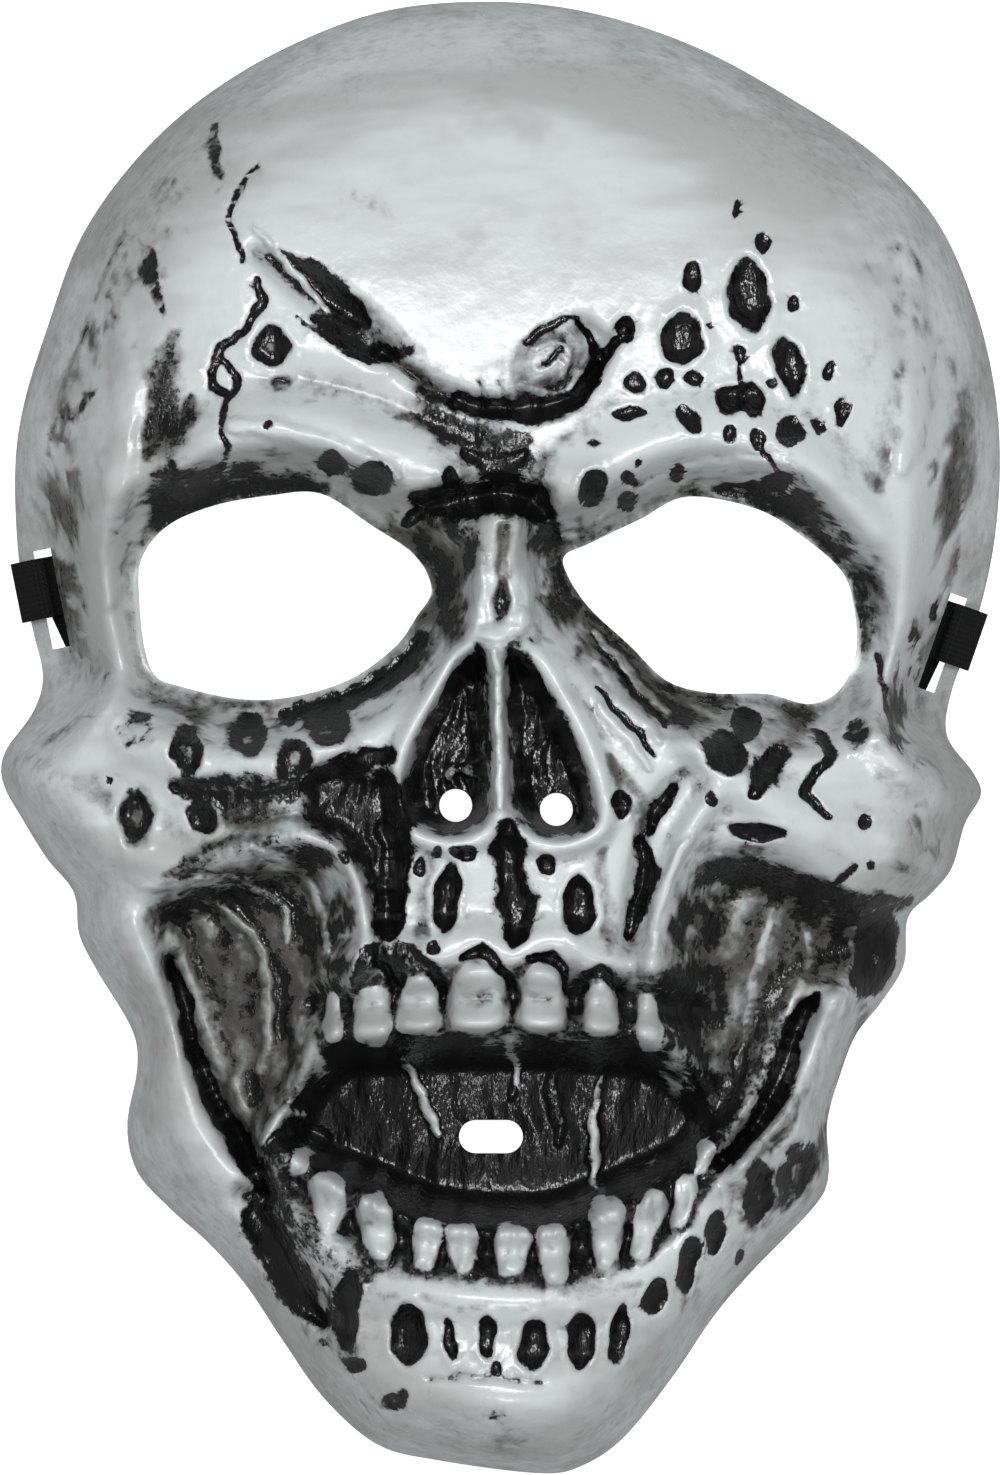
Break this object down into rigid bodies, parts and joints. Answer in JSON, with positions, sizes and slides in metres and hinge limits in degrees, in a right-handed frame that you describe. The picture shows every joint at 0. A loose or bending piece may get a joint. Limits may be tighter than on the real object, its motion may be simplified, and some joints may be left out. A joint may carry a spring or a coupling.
{
  "type": "skull carnival mask",
  "caption": "Moulded plastic skull mask with open eye holes, nostrils and mouth slot, and an elastic head band.",
  "frame": {"origin": "under the middle of the mask, on the surface that its rim rests on", "axes": "+X to the right of someone who looks at the face, +Y towards the crown, +Z the way the face looks"},
  "size_m": [0.1898, 0.2796, 0.0811],
  "materials": {
    "bone_grey_plastic": "satin vacuum-formed sheet, pale cool grey, with black and brown-grey wash in the hollows",
    "black_elastic": "black woven elastic"
  },
  "bodies": {
    "root": {"mask_shell": "bone_grey_plastic", "elastic_band": "black_elastic"}
  },
  "joints": []
}
